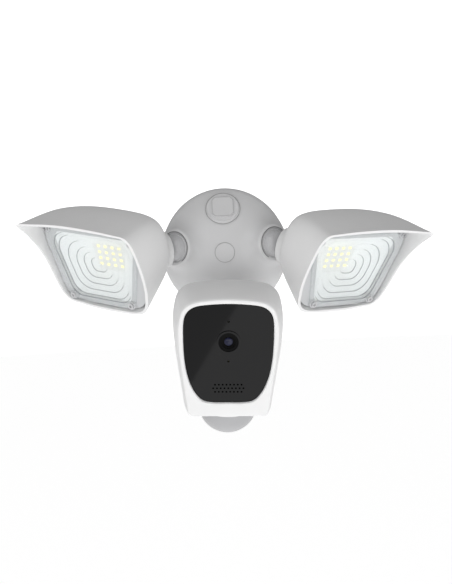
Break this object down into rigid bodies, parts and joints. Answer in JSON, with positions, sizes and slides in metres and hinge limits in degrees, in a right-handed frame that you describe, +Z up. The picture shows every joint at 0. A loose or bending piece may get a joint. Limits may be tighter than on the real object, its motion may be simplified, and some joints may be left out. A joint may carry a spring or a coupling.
{
  "type": "floodlight security camera",
  "caption": "Wall floodlight camera: round base with two hooded lamps and a camera head on ball joints, the head with a motion sensor dome below.",
  "frame": {"origin": "centre of the base's back face on the wall, between the slots of the mounting bar", "axes": "+X to the right seen from the front, -Y out from the wall, +Y into the wall, +Z up"},
  "size_m": [0.3586, 0.1208, 0.2075],
  "materials": {
    "white_plastic": "satin",
    "grey_plastic": "satin",
    "grey_nylon": "satin",
    "ball_white": "smooth",
    "zinc_steel": "satin",
    "green_screw": "satin",
    "black_rubber": "matt",
    "green_board": "satin",
    "copper_winding": "satin",
    "can_blue": "satin",
    "green_block": "satin",
    "clear_lens": "clear",
    "reflector_white": "smooth",
    "led_board_white": "satin",
    "led_yellow": "smooth",
    "heat_aluminium": "satin",
    "black_gloss": "gloss",
    "black_satin": "satin",
    "lens_glass": "clear",
    "sensor_green": "satin",
    "speaker_black": "matt",
    "sensor_clear": "smooth",
    "mic_metal": "satin",
    "button_red": "satin",
    "pir_milky": "satin"
  },
  "bodies": {
    "base": {"base_housing": "white_plastic", "crossbar_bracket": "zinc_steel", "ground_screw": "green_screw", "wall_gasket": "black_rubber", "base_back_plate": "grey_plastic", "cable_grommet": "black_rubber", "back_plate_screws": "zinc_steel", "blanking_plug": "white_plastic", "center_plug": "white_plastic", "canopy_screw": "zinc_steel", "socket_retainers": "grey_plastic", "driver_board": "green_board", "transformer": "copper_winding", "capacitors": "can_blue", "terminal_block": "green_block"},
    "seat_left": {"lamp_seat_left": "grey_nylon"},
    "stud_left": {"lamp_stud_left": "ball_white"},
    "lamp_left": {"lamp_housing_left": "white_plastic", "clamp_screw_left": "zinc_steel", "lamp_frame_left": "grey_plastic", "lamp_lens_left": "clear_lens", "lens_screws_left": "zinc_steel", "reflector_left": "reflector_white", "led_board_left": "led_board_white", "led_chips_left": "led_yellow", "heat_sink_left": "heat_aluminium"},
    "seat_right": {"lamp_seat_right": "grey_nylon"},
    "stud_right": {"lamp_stud_right": "ball_white"},
    "lamp_right": {"lamp_housing_right": "white_plastic", "clamp_screw_right": "zinc_steel", "lamp_frame_right": "grey_plastic", "lamp_lens_right": "clear_lens", "lens_screws_right": "zinc_steel", "reflector_right": "reflector_white", "led_board_right": "led_board_white", "led_chips_right": "led_yellow", "heat_sink_right": "heat_aluminium"},
    "seat_cam": {"cam_seat": "grey_nylon"},
    "stud_cam": {"cam_stud": "ball_white"},
    "camera": {"cam_body": "white_plastic", "cam_cover": "white_plastic", "cam_screws": "zinc_steel", "flap_pin": "zinc_steel", "face_plate": "black_gloss", "lens_ring": "black_gloss", "lens_barrel": "black_satin", "front_lens": "lens_glass", "image_sensor": "sensor_green", "camera_board": "green_board", "speaker": "speaker_black", "light_sensor": "sensor_clear", "microphone": "mic_metal", "card_reader": "zinc_steel", "pir_ring": "white_plastic", "pir_dome": "pir_milky", "pir_board": "green_board", "pir_sensor": "mic_metal"},
    "flap": {"service_flap": "grey_plastic"},
    "button": {"reset_button": "button_red"}
  },
  "joints": [
    {"name": "lamp_swivel_left", "type": "hinge", "parent": "base", "child": "seat_left", "pos_m": [-0.041, -0.037, 0.0061], "axis": [0.5736, 0.8192, 0], "range_deg": [-15, 10]},
    {"name": "lamp_tilt_left", "type": "hinge", "parent": "seat_left", "child": "stud_left", "pos_m": [-0.041, -0.037, 0.0061], "axis": [0.181, -0.1267, -0.9753], "range_deg": [-25, 0]},
    {"name": "lamp_spin_left", "type": "hinge", "parent": "stud_left", "child": "lamp_left", "pos_m": [-0.041, -0.037, 0.0061], "axis": [0.8409, 0.5342, 0.0867], "range_deg": [-25, 25]},
    {"name": "lamp_swivel_right", "type": "hinge", "parent": "base", "child": "seat_right", "pos_m": [0.041, -0.037, 0.0061], "axis": [0.5736, -0.8192, 0], "range_deg": [-15, 10]},
    {"name": "lamp_tilt_right", "type": "hinge", "parent": "seat_right", "child": "stud_right", "pos_m": [0.041, -0.037, 0.0061], "axis": [0.4115, 0.2881, 0.8647], "range_deg": [-25, 0]},
    {"name": "lamp_spin_right", "type": "hinge", "parent": "stud_right", "child": "lamp_right", "pos_m": [0.041, -0.037, 0.0061], "axis": [0.8337, -0.5023, -0.2294], "range_deg": [-25, 25]},
    {"name": "cam_swivel", "type": "hinge", "parent": "base", "child": "seat_cam", "pos_m": [0, -0.0394, -0.0375], "axis": [0, -0.866, -0.5], "range_deg": [-25, 25]},
    {"name": "cam_tilt", "type": "hinge", "parent": "seat_cam", "child": "stud_cam", "pos_m": [0, -0.0394, -0.0375], "axis": [-0.9998, -0.0093, 0.016], "range_deg": [-20, 12]},
    {"name": "cam_spin", "type": "hinge", "parent": "stud_cam", "child": "camera", "pos_m": [0, -0.0394, -0.0375], "axis": [0.0051, -0.9701, -0.2425], "range_deg": [-20, 20]},
    {"name": "flap_hinge", "type": "hinge", "parent": "camera", "child": "flap", "pos_m": [-0.00178, -0.0482, -0.07696], "axis": [0.9987, 0.0175, -0.0488], "range_deg": [0, 100]},
    {"name": "button_press", "type": "slide", "parent": "camera", "child": "button", "axis": [0.0051, -0.9701, -0.2425], "range_m": [0, 0.0004], "stiffness_N_per_m": 400}
  ]
}
